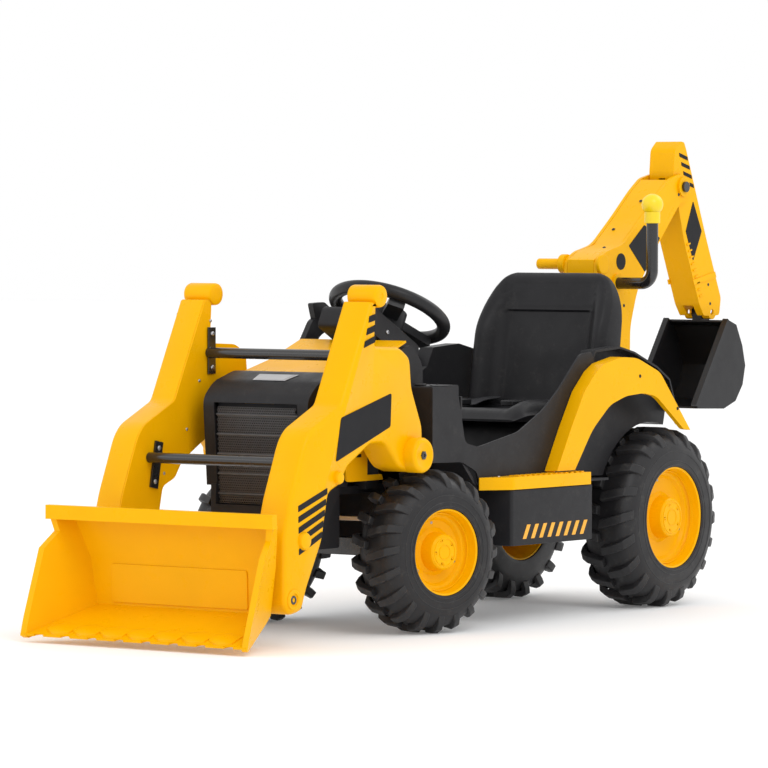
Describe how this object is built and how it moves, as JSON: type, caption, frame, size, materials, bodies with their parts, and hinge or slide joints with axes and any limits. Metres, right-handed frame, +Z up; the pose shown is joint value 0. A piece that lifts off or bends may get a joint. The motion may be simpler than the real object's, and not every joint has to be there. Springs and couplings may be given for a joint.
{
  "type": "toy backhoe loader",
  "caption": "Ride-on toy tractor with a lever-lifted front loader bucket, driver's seat and steering wheel, lugged wheels, and a hand-worked digging arm behind the seat.",
  "frame": {"origin": "centre of the object's footprint, on the ground", "axes": "+X forward, towards the loader bucket; +Y to the driver's left; +Z up"},
  "size_m": [1.956, 0.5718, 0.9385],
  "materials": {
    "yellow_plastic": "glossy moulded yellow plastic",
    "black_plastic": "satin moulded charcoal plastic",
    "tyre_plastic": "satin moulded dark grey tyre",
    "black_tube": "glossy black paint",
    "bright_steel": "zinc-plated steel",
    "lemon_plastic": "glossy lemon-yellow plastic",
    "red_plastic": "satin red plastic",
    "webbing": "woven webbing",
    "battery_case": "matte dark plastic"
  },
  "bodies": {
    "chassis": {"chassis_pan": "black_plastic", "cab_tub": "black_plastic", "dash_shell": "black_plastic", "steering_cowl": "black_plastic", "hood_cover": "yellow_plastic", "grille_shell": "black_plastic", "grille_mesh": "black_plastic", "side_panel_left": "yellow_plastic", "side_panel_right": "yellow_plastic", "fender_left": "yellow_plastic", "fender_right": "yellow_plastic", "fender_liner_left": "black_plastic", "fender_liner_right": "black_plastic", "step_box_left": "black_plastic", "step_box_right": "black_plastic", "step_tread_left": "yellow_plastic", "step_tread_right": "yellow_plastic", "seat": "black_plastic", "seat_belt": "webbing", "battery": "battery_case", "gear_motor_left": "black_plastic", "gear_motor_right": "black_plastic", "rear_axle": "bright_steel", "front_axle_beam": "black_tube", "charge_socket": "black_plastic", "swing_socket": "black_plastic"},
    "left_knuckle": {"knuckle_left": "bright_steel"},
    "right_knuckle": {"knuckle_right": "bright_steel"},
    "track_rod": {"tie_rod": "bright_steel"},
    "steering": {"steering_column": "bright_steel", "steering_wheel": "black_plastic"},
    "horn": {"horn_button": "black_plastic"},
    "front_left_wheel": {"front_tyre_left": "tyre_plastic", "front_rim_left": "yellow_plastic"},
    "front_right_wheel": {"front_tyre_right": "tyre_plastic", "front_rim_right": "yellow_plastic"},
    "rear_left_wheel": {"rear_tyre_left": "tyre_plastic", "rear_rim_left": "yellow_plastic"},
    "rear_right_wheel": {"rear_tyre_right": "tyre_plastic", "rear_rim_right": "yellow_plastic"},
    "pedal": {"accelerator_pedal": "red_plastic"},
    "loader_arms": {"loader_arm_left": "yellow_plastic", "loader_arm_right": "yellow_plastic", "arm_cover_left": "yellow_plastic", "arm_cover_right": "yellow_plastic", "upper_crossbar": "black_tube", "lower_crossbar": "black_tube", "pivot_shaft": "bright_steel", "loader_lever": "black_plastic", "bucket_pins": "bright_steel"},
    "front_bucket": {"loader_bucket": "yellow_plastic"},
    "backhoe_boom": {"boom": "yellow_plastic", "boom_cover": "yellow_plastic", "swing_handle": "yellow_plastic", "stick_bolt": "bright_steel"},
    "backhoe_stick": {"stick": "yellow_plastic"},
    "dig_lever": {"dig_handle": "black_tube", "dig_knob": "lemon_plastic"},
    "dig_rod": {"dig_link": "bright_steel"},
    "digging_bucket": {"rear_bucket": "black_plastic"}
  },
  "joints": [
    {"name": "steer_left", "type": "hinge", "parent": "chassis", "child": "left_knuckle", "pos_m": [0.345, 0.14, 0.1535], "axis": [0, 0, 1], "range_deg": [-10, 32]},
    {"name": "steer_right", "type": "hinge", "parent": "chassis", "child": "right_knuckle", "pos_m": [0.345, -0.14, 0.1535], "axis": [0, 0, 1], "range_deg": [-10, 32]},
    {"name": "tie_rod_swing", "type": "hinge", "parent": "left_knuckle", "child": "track_rod", "pos_m": [0.39899, 0.12951, 0.2075], "axis": [0, 0, 1], "range_deg": [-32, 10]},
    {"name": "steering_turn", "type": "hinge", "parent": "chassis", "child": "steering", "pos_m": [0.191, 0, 0.595], "axis": [-0.4695, 0, 0.8829], "range_deg": [-15, 48]},
    {"name": "horn_press", "type": "slide", "parent": "steering", "child": "horn", "axis": [0.4695, 0, -0.8829], "range_m": [0, 0.003], "stiffness_N_per_m": 400, "springref_m": -0.001},
    {"name": "front_left_spin", "type": "hinge", "parent": "left_knuckle", "child": "front_left_wheel", "pos_m": [0.36866, 0.26172, 0.1535], "axis": [0.1908, 0.9816, 0], "continuous": true},
    {"name": "front_right_spin", "type": "hinge", "parent": "right_knuckle", "child": "front_right_wheel", "pos_m": [0.32134, -0.26172, 0.1535], "axis": [0.1908, 0.9816, 0], "continuous": true},
    {"name": "rear_left_spin", "type": "hinge", "parent": "chassis", "child": "rear_left_wheel", "pos_m": [-0.446, 0.243, 0.18], "axis": [0, 1, 0], "continuous": true},
    {"name": "rear_right_spin", "type": "hinge", "parent": "chassis", "child": "rear_right_wheel", "pos_m": [-0.446, -0.243, 0.18], "axis": [0, 1, 0], "continuous": true},
    {"name": "pedal_press", "type": "hinge", "parent": "chassis", "child": "pedal", "pos_m": [0.152, 0, 0.277], "axis": [0, 1, 0], "range_deg": [0, 9], "stiffness_Nm_per_rad": 0.8, "springref_deg": -6.88},
    {"name": "loader_lift", "type": "hinge", "parent": "chassis", "child": "loader_arms", "pos_m": [0.424, 0, 0.336], "axis": [0, -1, 0], "range_deg": [0, 30]},
    {"name": "bucket_tilt", "type": "hinge", "parent": "loader_arms", "child": "front_bucket", "pos_m": [0.793, 0, 0.088], "axis": [0, 1, 0], "range_deg": [0, 40]},
    {"name": "boom_swing", "type": "hinge", "parent": "chassis", "child": "backhoe_boom", "pos_m": [-0.543, 0, 0.28], "axis": [0, 0, 1], "range_deg": [-35, 35]},
    {"name": "stick_swing", "type": "hinge", "parent": "backhoe_boom", "child": "backhoe_stick", "pos_m": [-0.791, 0, 0.844], "axis": [0, 1, 0], "range_deg": [-14, 35]},
    {"name": "dig_lever_pull", "type": "hinge", "parent": "backhoe_boom", "child": "dig_lever", "pos_m": [-0.544, 0, 0.646], "axis": [0, 1, 0], "range_deg": [-14, 35]},
    {"name": "dig_rod_turn", "type": "hinge", "parent": "dig_lever", "child": "dig_rod", "pos_m": [-0.559, 0, 0.6273], "axis": [0, 1, 0], "range_deg": [-35, 14]},
    {"name": "bucket_curl", "type": "hinge", "parent": "backhoe_stick", "child": "digging_bucket", "pos_m": [-0.924, 0, 0.582], "axis": [0, 1, 0], "range_deg": [-10, 30]}
  ],
  "couplings": [
    {"joint": "steer_right", "follows": "steer_left", "ratio": 1},
    {"joint": "tie_rod_swing", "follows": "steer_left", "ratio": -1},
    {"joint": "steering_turn", "follows": "steer_left", "ratio": 1.5},
    {"joint": "dig_lever_pull", "follows": "stick_swing", "ratio": 1},
    {"joint": "dig_rod_turn", "follows": "stick_swing", "ratio": -1}
  ]
}
